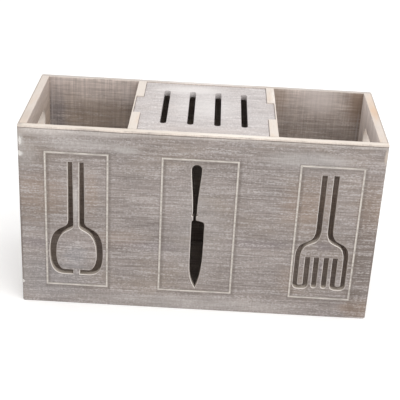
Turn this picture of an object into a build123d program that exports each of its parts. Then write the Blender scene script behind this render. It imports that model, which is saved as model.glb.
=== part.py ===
from build123d import *

import os

# Flatware holder of limed board: two open bays, a knife bay under a slotted lift-out lid, hand holes in
# both ends and three utensils fretted through the front. Millimetres, +Z up, front towards -Y, origin in
# the middle of the underside.

# Overall size of the box
WIDTH = 360.0
DEPTH = 146.0
HEIGHT = 199.0

# Board thicknesses
FACE_STOCK = 6.0
END_STOCK = 9.0
DIVIDER_STOCK = 9.0
BASE_STOCK = 4.0
LID_STOCK = 6.0

# Clear width between the two dividers
KNIFE_BAY = 129.0

# Sanded arrises: upright corners of the box, outside and inside of its rim, foot, hand holes and fretwork
CORNER_ARRIS = 2.6
OUTER_ARRIS = 1.4
INNER_ARRIS = 0.8
FOOT_ARRIS = 0.8
HAND_HOLE_ARRIS = 1.2
FRET_ARRIS = 0.5

# Largest share of a board's thickness that one arris takes
ARRIS_SHARE = 0.45

# Lift-out lid: clearance all round, depth below the rim, tabs and the board left standing behind them
LID_GAP = 0.3
LID_SINK = 1.2
TAB_LENGTH = 45.0
NOTCH_LIP = 1.6

# Knife slots through the lid
SLOT_COUNT = 4
SLOT_PITCH = 27.0
SLOT_WIDTH = 6.5
SLOT_END_MARGIN = 21.0

# Hand holes through the ends, measured from the rim to their middle
HAND_HOLE_LENGTH = 74.0
HAND_HOLE_HEIGHT = 25.0
HAND_HOLE_DROP = 37.0

# V-grooved frames on the front: edge to groove, groove width, frame widths and places along the front
FRAME_FOOT = 22.5
FRAME_HEAD = 27.0
GROOVE_WIDTH = 2.0
TURNER_FRAME = 61.6
KNIFE_FRAME = 74.4
FORK_FRAME = 62.0
TURNER_FRAME_SHIFT = -0.4
KNIFE_FRAME_SHIFT = -0.8
FORK_FRAME_SHIFT = 6.35

# Turner: heights above the frame's foot, full widths of the cut, and width of its channel
TURNER_SHIFT = -0.5
TURNER_TOP_GAP = 9.6
TURNER_FOOT = 12.8
TURNER_BELLY = 38.1
TURNER_NECK = 74.6
TURNER_BLADE_WIDTH = 54.0
TURNER_FOOT_WIDTH = 25.0
TURNER_NECK_WIDTH = 16.5
TURNER_HANDLE_WIDTH = 15.9
TURNER_BLADE_CHANNEL = 6.3
TURNER_NECK_CHANNEL = 5.3
TURNER_HANDLE_CHANNEL = 4.5
TURNER_FOOT_CHANNEL = 4.9
TURNER_BRIDGE = 7.0
TURNER_NECK_DROP = 4.9
TURNER_BELLY_DROP = 2.9

# Fork: heights above the frame's foot, widths of the cut, its channel and its tines
FORK_SHIFT = -1.4
FORK_TOP_GAP = 9.2
FORK_FOOT = 10.8
FORK_CROTCH = 48.0
FORK_HIP = 47.3
FORK_NECK = 81.5
FORK_HANDLE_WIDTH = 17.0
FORK_CHANNEL = 4.6
FORK_HANDLE_CHANNEL = 5.3
FORK_FOOT_CHANNEL = 3.9
FORK_HIP_DROP = 3.3
FORK_OUTER_TINE = 5.75
FORK_INNER_TINE = 3.8
FORK_MIDDLE_TINE = 4.9
FORK_GAP = 5.2
FORK_GAP_FOOT = 12.2

# Knife: heights above the frame's foot, lengths of its neck and collar, and half widths about its axis
KNIFE_SHIFT = -3.3
KNIFE_TOP_GAP = 5.3
KNIFE_TIP = 4.4
KNIFE_POINT_START = 34.5
KNIFE_EDGE_START = 63.5
KNIFE_SHOULDER = 83.0
KNIFE_NECK_LENGTH = 4.3
KNIFE_COLLAR_LENGTH = 2.4
KNIFE_COLLAR_BEVEL = 0.5
KNIFE_NECK_HALF = 1.5
KNIFE_COLLAR_HALF = 2.9
KNIFE_GRIP_HALF = 2.0
KNIFE_BUTT_HALF = 5.1
KNIFE_SPINE = 3.0
KNIFE_EDGE = 10.1
KNIFE_BELLY = 9.8
KNIFE_TIP_SIDE = 3.5
KNIFE_POINT_BACK = 2.1
KNIFE_EDGE_FALL = 1.9
KNIFE_SPINE_FALL = 1.5
KNIFE_CORNER = 3.8

# Fullness of the curves: share of a curve's height over which its ends keep their direction
TURNER_NECK_FULLNESS = 0.35
TURNER_SHOULDER_FULLNESS = 0.96
TURNER_INNER_NECK_FULLNESS = 0.26
TURNER_INNER_SHOULDER_FULLNESS = 0.96
TURNER_SIDE_FULLNESS = 0.6
TURNER_CORNER_FULLNESS = 0.81
TURNER_INNER_CORNER_FULLNESS = 0.47
FORK_NECK_FULLNESS = 0.72
FORK_HIP_FULLNESS = 0.76
FORK_INNER_NECK_FULLNESS = 0.76
FORK_INNER_HIP_FULLNESS = 0.8
KNIFE_GRIP_FULLNESS = 0.4
KNIFE_BUTT_FULLNESS = 0.22
KNIFE_EDGE_FULLNESS = 0.41
KNIFE_BELLY_FULLNESS = 0.25
KNIFE_TIP_FULLNESS = 0.3
KNIFE_POINT_FULLNESS = 0.44

# Share of a width that rounds each corner of its lower end: a fork slot, and a fork's outer tine
SLOT_ROUND_SHARE = 0.48
TINE_ROUND_SHARE = 0.32

# Wire brads with T heads and chisel points, driven through the faces, heads set in under filler
BRAD_LENGTH = 18.0
BRAD_WIDTH = 1.25
BRAD_THICKNESS = 1.0
BRAD_HEAD = 2.0
BRAD_HEAD_DEPTH = 0.6
BRAD_POINT = 2.0
BRAD_SINK = 1.0
BRAD_FIT = 0.03
BRAD_EDGE = 25.0
BRAD_END_ROWS = 3
BRAD_DIVIDER_ROWS = 2
BRAD_BASE_COUNT = 4
BRAD_BASE_EDGE = 45.0

# Depth that every cutting tool reaches past the surface it cuts
OVERRUN = 1.0

# Places that follow from the sizes above
INSIDE_WIDTH = WIDTH - 2 * END_STOCK
INSIDE_DEPTH = DEPTH - 2 * FACE_STOCK
DIVIDER_X = (KNIFE_BAY + DIVIDER_STOCK) / 2
SIDE_BAY_X = (INSIDE_WIDTH / 2 + DIVIDER_X + DIVIDER_STOCK / 2) / 2
END_X = (WIDTH - END_STOCK) / 2
FACE_Y = (DEPTH - FACE_STOCK) / 2
LID_TOP = HEIGHT - LID_SINK
LID_SEAT = LID_TOP - LID_STOCK
TAB_REACH = DIVIDER_STOCK - NOTCH_LIP - LID_GAP
FRAME_TOP = HEIGHT - FRAME_HEAD
UP = (Align.CENTER, Align.CENTER, Align.MIN)
FRONT = Plane(origin=(0, -DEPTH / 2, 0), x_dir=(1, 0, 0), z_dir=(0, -1, 0))


def symmetric_face(*right_half):
    """Face whose right half runs from the centre line at the top to the centre line at the foot."""
    right = Curve() + list(right_half)
    return make_face(right + mirror(right, about=Plane.YZ))


def arris(radius, stock):
    """Arris radius that the board's thickness leaves room for."""
    return min(radius, ARRIS_SHARE * stock)


def hole_edges(face):
    """Edges of the holes in a face."""
    return [edge for wire in face.inner_wires() for edge in wire.edges()]


# Fretwork outlines, drawn on the front with X across and Y up


def turner_half(top, neck, belly, foot, neck_fullness, shoulder_fullness, corner_fullness):
    """Right half of a turner: handle, shoulder that falls to the belly, rounded corner and flat foot."""
    fall = neck[1] - belly[1]
    neck_pull = neck_fullness * fall
    lean = (neck[0] - top[0]) / (top[1] - neck[1])
    side_pull = TURNER_SIDE_FULLNESS * (belly[1] - foot[1])
    corner_pull = corner_fullness * (belly[0] - foot[0])
    return [
        Line((0, top[1]), top),
        Line(top, neck),
        Bezier(
            neck,
            (neck[0] + lean * neck_pull, neck[1] - neck_pull),
            (belly[0], belly[1] + shoulder_fullness * fall),
            belly,
        ),
        Bezier(belly, (belly[0], belly[1] - side_pull), (foot[0] + corner_pull, foot[1]), foot),
        Line(foot, (0, foot[1])),
    ]


def turner_cut():
    """Channel round a turner that stays in the panel by its handle and by a bridge at its foot."""
    top = FRAME_TOP - TURNER_TOP_GAP
    foot = FRAME_FOOT + TURNER_FOOT
    belly = FRAME_FOOT + TURNER_BELLY
    neck = FRAME_FOOT + TURNER_NECK
    outer = symmetric_face(*turner_half(
        (TURNER_HANDLE_WIDTH / 2, top),
        (TURNER_NECK_WIDTH / 2, neck),
        (TURNER_BLADE_WIDTH / 2, belly),
        (TURNER_FOOT_WIDTH / 2, foot),
        TURNER_NECK_FULLNESS,
        TURNER_SHOULDER_FULLNESS,
        TURNER_CORNER_FULLNESS,
    ))
    island = symmetric_face(*turner_half(
        (TURNER_HANDLE_WIDTH / 2 - TURNER_HANDLE_CHANNEL, top + OVERRUN),
        (TURNER_NECK_WIDTH / 2 - TURNER_NECK_CHANNEL, neck - TURNER_NECK_DROP),
        (TURNER_BLADE_WIDTH / 2 - TURNER_BLADE_CHANNEL, belly - TURNER_BELLY_DROP),
        (TURNER_FOOT_WIDTH / 2, foot + TURNER_FOOT_CHANNEL),
        TURNER_INNER_NECK_FULLNESS,
        TURNER_INNER_SHOULDER_FULLNESS,
        TURNER_INNER_CORNER_FULLNESS,
    ))
    bridge_height = TURNER_FOOT_CHANNEL + 2 * OVERRUN
    bridge = Rectangle(TURNER_BRIDGE, bridge_height, align=(Align.CENTER, Align.MIN))
    return outer - island - Pos(0, foot - OVERRUN) * bridge


def fork_face(handle, tine_inner, tine_outer, heights, neck_fullness, hip_fullness):
    """Fork: handle, shoulders, outer tines with rounded corners at their ends, and the crotch."""
    top, neck, hip, crotch, foot = heights
    fall = neck - hip
    fork = symmetric_face(
        Line((0, top), (handle, top)),
        Line((handle, top), (handle, neck)),
        Bezier(
            (handle, neck),
            (handle, neck - neck_fullness * fall),
            (tine_outer, hip + hip_fullness * fall),
            (tine_outer, hip),
        ),
        Line((tine_outer, hip), (tine_outer, foot)),
        Line((tine_outer, foot), (tine_inner, foot)),
        Line((tine_inner, foot), (tine_inner, crotch)),
        Line((tine_inner, crotch), (0, crotch)),
    )
    ends = fork.vertices().group_by(Axis.Y)[0]
    return fillet(ends, TINE_ROUND_SHARE * (tine_outer - tine_inner))


def fork_cut():
    """Channel round a fork and its outer tines, and the two slots between the inner tines."""
    top = FRAME_TOP - FORK_TOP_GAP
    neck = FRAME_FOOT + FORK_NECK
    hip = FRAME_FOOT + FORK_HIP
    foot = FRAME_FOOT + FORK_FOOT
    crotch = FRAME_FOOT + FORK_CROTCH
    slot_x = (FORK_MIDDLE_TINE + FORK_GAP) / 2
    gap_inner = slot_x + FORK_GAP / 2 + FORK_INNER_TINE
    tine_inner = gap_inner + FORK_GAP
    tine_outer = tine_inner + FORK_OUTER_TINE
    outer = fork_face(
        FORK_HANDLE_WIDTH / 2,
        gap_inner,
        tine_outer + FORK_CHANNEL,
        (top, neck, hip, crotch + OVERRUN, foot),
        FORK_NECK_FULLNESS,
        FORK_HIP_FULLNESS,
    )
    island = fork_face(
        FORK_HANDLE_WIDTH / 2 - FORK_HANDLE_CHANNEL,
        tine_inner,
        tine_outer,
        (top + OVERRUN, neck, hip - FORK_HIP_DROP, crotch, foot + FORK_FOOT_CHANNEL),
        FORK_INNER_NECK_FULLNESS,
        FORK_INNER_HIP_FULLNESS,
    )
    slot_foot = FRAME_FOOT + FORK_GAP_FOOT
    slot = Rectangle(FORK_GAP, crotch - slot_foot, align=(Align.CENTER, Align.MIN))
    slot = fillet(slot.vertices().sort_by(Axis.Y)[:2], SLOT_ROUND_SHARE * FORK_GAP)
    slots = [Pos(side * slot_x, slot_foot) * slot for side in (-1, 1)]
    return (outer - island) + slots


def knife_cut():
    """Silhouette of a table knife: round butt, slim grip, collar, neck and a blade with a curved edge."""
    shoulder = FRAME_FOOT + KNIFE_SHOULDER
    neck_top = shoulder + KNIFE_NECK_LENGTH
    grip_foot = neck_top + KNIFE_COLLAR_LENGTH
    butt = FRAME_TOP - KNIFE_TOP_GAP - KNIFE_BUTT_HALF
    grip_length = butt - grip_foot
    tip = (KNIFE_TIP_SIDE, FRAME_FOOT + KNIFE_TIP)
    edge_start = (KNIFE_EDGE, FRAME_FOOT + KNIFE_EDGE_START)
    point_start = (-KNIFE_SPINE, FRAME_FOOT + KNIFE_POINT_START)
    edge_length = edge_start[1] - tip[1]
    point_length = point_start[1] - tip[1]
    corner = (KNIFE_EDGE, shoulder - KNIFE_EDGE_FALL)
    spine_top = (-KNIFE_SPINE, shoulder - KNIFE_SPINE_FALL)

    def grip(side):
        return Bezier(
            (side * KNIFE_GRIP_HALF, grip_foot),
            (side * KNIFE_GRIP_HALF, grip_foot + KNIFE_GRIP_FULLNESS * grip_length),
            (side * KNIFE_BUTT_HALF, butt - KNIFE_BUTT_FULLNESS * grip_length),
            (side * KNIFE_BUTT_HALF, butt),
        )

    def collar(side):
        return Polyline(
            (side * KNIFE_GRIP_HALF, grip_foot),
            (side * KNIFE_COLLAR_HALF, grip_foot - KNIFE_COLLAR_BEVEL),
            (side * KNIFE_COLLAR_HALF, neck_top + KNIFE_COLLAR_BEVEL),
            (side * KNIFE_NECK_HALF, neck_top),
            (side * KNIFE_NECK_HALF, shoulder),
        )

    outline = Curve() + [
        ThreePointArc((-KNIFE_BUTT_HALF, butt), (0, butt + KNIFE_BUTT_HALF), (KNIFE_BUTT_HALF, butt)),
        grip(1),
        collar(1),
        Line((KNIFE_NECK_HALF, shoulder), corner),
        Line(corner, edge_start),
        Bezier(
            edge_start,
            (KNIFE_EDGE, edge_start[1] - KNIFE_EDGE_FULLNESS * edge_length),
            (KNIFE_BELLY, tip[1] + KNIFE_BELLY_FULLNESS * edge_length),
            tip,
        ),
        Bezier(
            tip,
            (-KNIFE_POINT_BACK, tip[1] + KNIFE_TIP_FULLNESS * point_length),
            (-KNIFE_SPINE, point_start[1] - KNIFE_POINT_FULLNESS * point_length),
            point_start,
        ),
        Line(point_start, spine_top),
        Line(spine_top, (-KNIFE_NECK_HALF, shoulder)),
        collar(-1),
        grip(-1),
    ]
    knife = make_face(outline)
    return fillet(knife.vertices().sort_by_distance(corner)[0], KNIFE_CORNER)


def groove_tool(width, height):
    """V groove along the four sides of a frame, mitred at its corners."""
    reach = GROOVE_WIDTH / 2

    def frustum(side):
        spread = 2 * side * (reach + OVERRUN)
        mouth = Rectangle(width + spread, height + spread)
        root = Rectangle(width, height)
        return loft([Pos(0, 0, OVERRUN) * mouth, Pos(0, 0, -reach) * root], ruled=True)

    return frustum(1) - frustum(-1)


# Brads and their pilot holes


def brad(grow):
    """One brad along +Y with its head at the origin, grown all over by a clearance for its pilot hole."""
    shank = BRAD_WIDTH / 2 + grow
    head = BRAD_HEAD / 2 + grow
    profile = make_face(Polyline(
        (-head, -grow),
        (head, -grow),
        (head, BRAD_HEAD_DEPTH + grow),
        (shank, BRAD_HEAD_DEPTH + grow),
        (shank, BRAD_LENGTH - BRAD_POINT),
        (0, BRAD_LENGTH + grow),
        (-shank, BRAD_LENGTH - BRAD_POINT),
        (-shank, BRAD_HEAD_DEPTH + grow),
        (-head, BRAD_HEAD_DEPTH + grow),
        close=True,
    ))
    return extrude(profile, amount=BRAD_THICKNESS / 2 + grow, both=True)


def brad_heights(rows):
    """Heights of the brads along a joint, spread between the lowest and the highest."""
    step = (HEIGHT - 2 * BRAD_EDGE) / (rows - 1)
    return [BRAD_EDGE + row * step for row in range(rows)]


def brad_places():
    """Places of the brads along each joint of a face, by joint."""
    base_step = (INSIDE_WIDTH - 2 * BRAD_BASE_EDGE) / (BRAD_BASE_COUNT - 1)
    base_start = BRAD_BASE_EDGE - INSIDE_WIDTH / 2
    return {
        "end": [(side * END_X, z) for side in (-1, 1) for z in brad_heights(BRAD_END_ROWS)],
        "divider": [(side * DIVIDER_X, z) for side in (-1, 1) for z in brad_heights(BRAD_DIVIDER_ROWS)],
        "base": [(base_start + n * base_step, BASE_STOCK / 2) for n in range(BRAD_BASE_COUNT)],
    }


def driven(places, side, grow):
    """Brads driven in from the front (side -1) or from the back (side 1)."""
    turn = 0 if side < 0 else 180
    head_y = side * (DEPTH / 2 - BRAD_SINK)
    return [Pos(x, head_y, z) * Rot(0, 0, turn) * brad(grow) for x, z in places]


def pilot_holes(*joints):
    """Pilot holes of the named joints, from both faces."""
    places = brad_places()
    return [hole for joint in joints for side in (-1, 1) for hole in driven(places[joint], side, BRAD_FIT)]


# Boards


def sanded_block():
    """Block of the whole box: corners and rim rounded, foot chamfered, as on the finished box."""
    block = Box(WIDTH, DEPTH, HEIGHT, align=UP)
    block = fillet(block.edges().filter_by(Axis.Z), arris(CORNER_ARRIS, FACE_STOCK))
    block = fillet(block.edges().group_by(Axis.Z)[-1], arris(OUTER_ARRIS, FACE_STOCK))
    return chamfer(block.edges().group_by(Axis.Z)[0], arris(FOOT_ARRIS, FACE_STOCK))


def face_panel(side):
    """Front (side -1) or back (side 1) of the box, over its full width, with sanded arrises."""
    panel = Pos(0, side * FACE_Y, 0) * Box(WIDTH, FACE_STOCK, HEIGHT, align=UP)
    inside = panel.faces().sort_by(Axis.Y)[-1 if side < 0 else 0]
    panel = fillet(inside.edges().sort_by(Axis.Z)[-1], arris(INNER_ARRIS, FACE_STOCK))
    return panel & sanded_block()


def front_panel():
    """Front with its three fretted utensils, each inside a grooved frame."""
    turner_x = -SIDE_BAY_X + TURNER_FRAME_SHIFT
    knife_x = KNIFE_FRAME_SHIFT
    fork_x = SIDE_BAY_X + FORK_FRAME_SHIFT
    cuts = [
        Pos(turner_x + TURNER_SHIFT, 0) * turner_cut(),
        Pos(knife_x + KNIFE_SHIFT, 0) * knife_cut(),
        Pos(fork_x + FORK_SHIFT, 0) * fork_cut(),
    ]
    panel = face_panel(-1)
    for cut in cuts:
        panel -= extrude(FRONT.offset(OVERRUN) * cut, amount=-(FACE_STOCK + 2 * OVERRUN))
    outside = panel.faces().filter_by(Axis.Y).sort_by(Axis.Y)[0]
    panel = chamfer(hole_edges(outside), FRET_ARRIS)
    height = FRAME_TOP - FRAME_FOOT
    middle = (FRAME_TOP + FRAME_FOOT) / 2
    for x, width in ((turner_x, TURNER_FRAME), (knife_x, KNIFE_FRAME), (fork_x, FORK_FRAME)):
        panel -= FRONT * (Pos(x, middle) * groove_tool(width, height))
    return panel


def rim_edges(board):
    """Edges along the top of a board that runs from front to back, from left to right."""
    return board.edges().filter_by(Axis.Y).group_by(Axis.Z)[-1].sort_by(Axis.X)


def end_panel(side):
    """End of the box between front and back, with its hand hole."""
    panel = Pos(side * END_X, 0, 0) * Box(END_STOCK, INSIDE_DEPTH, HEIGHT, align=UP)
    inner_rim = rim_edges(panel)[-1 if side < 0 else 0]
    panel = fillet(inner_rim, arris(INNER_ARRIS, END_STOCK)) & sanded_block()
    hole = Plane.YZ * SlotOverall(HAND_HOLE_LENGTH, HAND_HOLE_HEIGHT)
    tool = extrude(hole, amount=END_STOCK / 2 + OVERRUN, both=True)
    panel -= Pos(side * END_X, 0, HEIGHT - HAND_HOLE_DROP) * tool
    mouths = [edge for face in panel.faces().filter_by(Axis.X) for edge in hole_edges(face)]
    return fillet(mouths, arris(HAND_HOLE_ARRIS, END_STOCK))


def divider(side):
    """Divider on the base, with a stopped notch in its top for the lid's tab."""
    board = Pos(side * DIVIDER_X, 0, BASE_STOCK) * Box(
        DIVIDER_STOCK, INSIDE_DEPTH, HEIGHT - BASE_STOCK, align=UP
    )
    board = fillet(rim_edges(board), arris(INNER_ARRIS, DIVIDER_STOCK))
    depth = DIVIDER_STOCK - NOTCH_LIP + OVERRUN
    middle = side * (KNIFE_BAY / 2 - OVERRUN + depth / 2)
    notch = Box(depth, TAB_LENGTH + 2 * LID_GAP, HEIGHT - LID_SEAT + OVERRUN, align=UP)
    return board - Pos(middle, 0, LID_SEAT) * notch


def base_panel():
    """Base between the four walls, flush with their lower edges."""
    return Box(INSIDE_WIDTH, INSIDE_DEPTH, BASE_STOCK, align=UP)


def knife_lid():
    """Lid of the knife bay: a board with a row of slots, and a tab each side that lies in the dividers."""
    width = KNIFE_BAY - 2 * LID_GAP
    depth = INSIDE_DEPTH - 2 * LID_GAP
    outline = Rectangle(width, depth) + Rectangle(width + 2 * (TAB_REACH + LID_GAP), TAB_LENGTH)
    slot = SlotOverall(depth - 2 * SLOT_END_MARGIN, SLOT_WIDTH, rotation=90)
    first = -(SLOT_COUNT - 1) / 2 * SLOT_PITCH
    for n in range(SLOT_COUNT):
        outline -= Pos(first + n * SLOT_PITCH, 0) * slot
    return Pos(0, 0, LID_SEAT) * extrude(outline, amount=LID_STOCK)


def build():
    """Every piece by name."""
    pieces = {
        "front_panel": front_panel() - pilot_holes("end", "divider", "base"),
        "back_panel": face_panel(1) - pilot_holes("end", "divider", "base"),
        "base_panel": base_panel() - pilot_holes("base"),
        "knife_lid": knife_lid(),
    }
    for name, side in (("left", -1), ("right", 1)):
        pieces[f"{name}_end_panel"] = end_panel(side) - pilot_holes("end")
        pieces[f"{name}_divider"] = divider(side) - pilot_holes("divider")
    for name, side in (("front", -1), ("back", 1)):
        for joint, places in brad_places().items():
            pieces[f"{name}_{joint}_brads"] = Compound(children=driven(places, side, 0))
    return pieces


os.makedirs("parts", exist_ok=True)
for node, shape in build().items():
    export_step(shape, f"parts/{node}.step")
    print(node, len(shape.solids()), "solid(s)", round(shape.volume), "mm3")
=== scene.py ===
# %% [markdown]
# A limed flatware caddy, from bare boards to a finished piece
# The real caddy is a box of thin boards, brushed with a grey-brown stain and then with thinned white lime,
# and sanded through to the pale wood along its rim. The frame holds every board at its real size.
# The looks are made here: worn edges and chips in the meshes, and the stain, the lime and the bare wood as
# materials worked out from nodes. The frame comes first, because every piece takes its place from it.

# %% Load the frame
import math
from collections import namedtuple

import bpy
from mathutils import Matrix, Vector


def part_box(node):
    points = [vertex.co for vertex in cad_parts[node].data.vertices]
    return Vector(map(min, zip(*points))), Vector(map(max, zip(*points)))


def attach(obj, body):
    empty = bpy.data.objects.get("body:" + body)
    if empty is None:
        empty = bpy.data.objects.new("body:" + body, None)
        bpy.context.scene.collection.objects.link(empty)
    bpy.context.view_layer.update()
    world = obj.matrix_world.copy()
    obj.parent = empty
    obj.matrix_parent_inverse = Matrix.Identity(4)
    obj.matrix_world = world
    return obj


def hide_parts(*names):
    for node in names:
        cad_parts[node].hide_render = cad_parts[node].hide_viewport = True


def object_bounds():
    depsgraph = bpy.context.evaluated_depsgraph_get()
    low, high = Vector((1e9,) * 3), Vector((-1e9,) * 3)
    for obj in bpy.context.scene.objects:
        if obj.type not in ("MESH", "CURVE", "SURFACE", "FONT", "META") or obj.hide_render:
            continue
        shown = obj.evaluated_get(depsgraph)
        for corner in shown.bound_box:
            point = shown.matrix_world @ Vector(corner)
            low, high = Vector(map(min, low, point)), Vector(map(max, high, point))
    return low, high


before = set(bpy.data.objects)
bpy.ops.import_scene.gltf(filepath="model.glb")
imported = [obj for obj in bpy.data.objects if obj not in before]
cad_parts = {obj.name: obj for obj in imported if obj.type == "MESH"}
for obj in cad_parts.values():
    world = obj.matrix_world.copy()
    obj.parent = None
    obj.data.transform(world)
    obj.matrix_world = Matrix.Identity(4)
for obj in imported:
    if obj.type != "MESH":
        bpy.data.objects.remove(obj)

MM = 0.001
cad_low, cad_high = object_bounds()
RIM = cad_high.z
print("box in mm:", [round((high - low) / MM, 1) for low, high in zip(cad_low, cad_high)])

# %% [markdown]
# The camera stands where the photographer stood. Its lens, place and angles were found by fitting the box's
# six visible corners, so the boards fall on the same pixels as in the photograph. The photograph was taken
# with a long lens, from a little above, and with a slight tilt, which is the roll. The place is in metres
# and the angles are in radians.

# %% Camera
LENS_MM = 89.91
CAMERA_PLACE = Vector((0.0042, -0.9584, 0.5754))
LOOK_DOWN = 0.4670
TURN = 0.0043
ROLL = 0.0537

camera = bpy.data.objects.new("camera", bpy.data.cameras.new("camera"))
bpy.context.scene.collection.objects.link(camera)
camera.data.lens = LENS_MM
turned = Matrix.Rotation(TURN, 4, "Z")
tilted = Matrix.Rotation(math.pi / 2 - LOOK_DOWN, 4, "X")
rolled = Matrix.Rotation(ROLL, 4, "Z")
camera.matrix_world = Matrix.Translation(CAMERA_PLACE) @ turned @ tilted @ rolled
bpy.context.scene.camera = camera
print("camera looks down", round(math.degrees(LOOK_DOWN), 1), "degrees")

# %% [markdown]
# Every finish is a small tree of nodes. Two helpers do most of the work: one turns a colour, as a maker
# reads it from a chart, into the linear values that light is worked out in, and one adds a node with its
# settings and links. A link can be a socket of another node or a plain value. A third helper starts a
# material with its roughness and its gloss. Axes get names here, and so do the sockets of a Mix node for
# colours, which are told apart only by their numbers.

# %% Colours and nodes
def srgb(code):
    """Linear colour of an sRGB hex code."""
    parts = [int(code[n:n + 2], 16) / 255 for n in (1, 3, 5)]
    linear = [p / 12.92 if p <= 0.04045 else ((p + 0.055) / 1.055) ** 2.4 for p in parts]
    return (*linear, 1.0)


def add_node(tree, kind, links=None, **settings):
    """One node with its settings. Links give each input a socket or a value."""
    node = tree.nodes.new(kind)
    for key, value in settings.items():
        setattr(node, key, value)
    for key, value in (links or {}).items():
        if isinstance(value, bpy.types.NodeSocket):
            tree.links.new(value, node.inputs[key])
        else:
            node.inputs[key].default_value = value
    return node


def start_material(name, roughness, specular):
    """An empty material with one surface shader. Returns it with its tree and its shader."""
    material = bpy.data.materials.new(name)
    material.use_nodes = True
    tree = material.node_tree
    shader = tree.nodes["Principled BSDF"]
    shader.inputs["Roughness"].default_value = roughness
    shader.inputs["Specular IOR Level"].default_value = specular
    return material, tree, shader


X, Y, Z = 0, 1, 2
FACTOR, UNDER, OVER = 0, 6, 7
MIXED = 2
print("warm white reads", [round(v, 3) for v in srgb("#f2e7da")])

# %% [markdown]
# A brush leaves strokes that are long one way and narrow the other, and so does wood grain. Both can be
# drawn as noise whose cells are stretched: the sizes given are the length and the width of one cell in
# millimetres. Strokes that are finer than a millimetre wouldn't show in a picture where a millimetre is
# one pixel, so the finest strokes here are drawn a little coarser than a real bristle's. Nearly all of the
# noise lies between a low and a high value, which later cells use as its ends.

# %% Brush strokes
NOISE_ROUGHNESS = 0.6
NOISE_LOW = 0.3
NOISE_HIGH = 0.7


def strokes(tree, along, length, width, detail, seed, wave=0.0):
    """Noise drawn out along one axis, as a socket from 0 to 1."""
    cell = [width * MM] * 3
    cell[along] = length * MM
    place = add_node(tree, "ShaderNodeTexCoord").outputs["Object"]
    mapped = add_node(tree, "ShaderNodeMapping", {
        "Vector": place,
        "Location": (seed, seed, seed),
        "Scale": [1 / size for size in cell],
    })
    noise = add_node(tree, "ShaderNodeTexNoise", {
        "Vector": mapped.outputs[0],
        "Scale": 1.0,
        "Detail": detail,
        "Roughness": NOISE_ROUGHNESS,
        "Distortion": wave,
    })
    return noise.outputs[0]


print("noise runs from about", NOISE_LOW, "to", NOISE_HIGH)

# %% [markdown]
# The stain goes on first. It is grey-brown, darker in the soft grain than in the hard, and where it was
# wiped off late it dried browner. Grain is drawn as strokes of 28 by 1.5 mm, and the slow change of
# colour as clouds several centimetres long.

# %% Stain
LATE_LOW = 0.45
LATE_HIGH = 0.75
LATE_MOST = 0.6


def stain(tree, along, dark, light, brown):
    """Colour of stained board, and the grain that it follows."""
    grain = strokes(tree, along, length=28, width=1.5, detail=3, seed=0, wave=0.25)
    hard = add_node(tree, "ShaderNodeMapRange", {
        "Value": grain, "From Min": NOISE_LOW, "From Max": NOISE_HIGH,
    }).outputs[0]
    colour = add_node(tree, "ShaderNodeMix", {FACTOR: hard, UNDER: srgb(dark), OVER: srgb(light)},
                      data_type="RGBA").outputs[MIXED]
    wash = strokes(tree, along, length=90, width=40, detail=3, seed=7)
    late = add_node(tree, "ShaderNodeMapRange", {
        "Value": wash, "From Min": LATE_LOW, "From Max": LATE_HIGH, "To Max": LATE_MOST,
    }, interpolation_type="SMOOTHSTEP").outputs[0]
    colour = add_node(tree, "ShaderNodeMix", {FACTOR: late, UNDER: colour, OVER: srgb(brown)},
                      data_type="RGBA").outputs[MIXED]
    return colour, grain


print("late stain covers up to", LATE_MOST)

# %% [markdown]
# White lime is brushed over the stain along the grain and wiped off. It stays in long streaks, in short
# flecks where the board is open, and in the thin scratches of the sander. The streaks and flecks add up and
# pass through a soft threshold, and the scratches join them as fine lines.

# %% Lime
FLECK_SHARE = 1.0
LIME_MOST = 0.72
SCRATCH_LOW = 0.6
SCRATCH_HIGH = 0.72
SCRATCH_MOST = 0.4


def lime_cover(tree, along, brush, low, high):
    """How much of the board the lime covers."""
    fleck = strokes(tree, along, length=2.6, width=1.3, detail=2, seed=5)
    spread = add_node(tree, "ShaderNodeMath", {0: fleck, 1: FLECK_SHARE, 2: brush},
                      operation="MULTIPLY_ADD").outputs[0]
    patches = add_node(tree, "ShaderNodeMapRange", {
        "Value": spread, "From Min": low, "From Max": high, "To Max": LIME_MOST,
    }, interpolation_type="SMOOTHSTEP").outputs[0]
    scratch = strokes(tree, along, length=130, width=1.3, detail=1, seed=13)
    lines = add_node(tree, "ShaderNodeMapRange", {
        "Value": scratch, "From Min": SCRATCH_LOW, "From Max": SCRATCH_HIGH, "To Max": SCRATCH_MOST,
    }, interpolation_type="SMOOTHSTEP").outputs[0]
    return add_node(tree, "ShaderNodeMath", {0: patches, 1: lines}, operation="MAXIMUM").outputs[0]


print("lime covers up to", LIME_MOST)

# %% [markdown]
# A second, nearly dry pass across the grain leaves a faint weave, and every width of the brush is a little
# lighter or darker than its neighbour. These are changes of tone, not of colour: each layer of strokes
# multiplies what lies under it by a little more or less than one. A tone says whether its strokes run
# across the board, how long and how wide they are in millimetres, and how far they change the colour.

# %% Tone
Tone = namedtuple("Tone", "across length width share")
TONE_DETAIL = 2
FIRST_TONE_SEED = 41


def toned(tree, colour, along, across, tones):
    """A colour under layers of lighter and darker strokes."""
    for seed, tone in enumerate(tones, start=FIRST_TONE_SEED):
        axis = across if tone.across else along
        noise = strokes(tree, axis, tone.length, tone.width, TONE_DETAIL, seed)
        level = add_node(tree, "ShaderNodeMapRange", {
            "Value": noise, "From Min": NOISE_LOW, "From Max": NOISE_HIGH,
            "To Min": 1 - tone.share, "To Max": 1 + tone.share,
        }).outputs[0]
        colour = add_node(tree, "ShaderNodeVectorMath", {0: colour, 1: level},
                          operation="MULTIPLY").outputs[0]
    return colour


print("a tone is given by its", ", ".join(Tone._fields))

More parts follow.
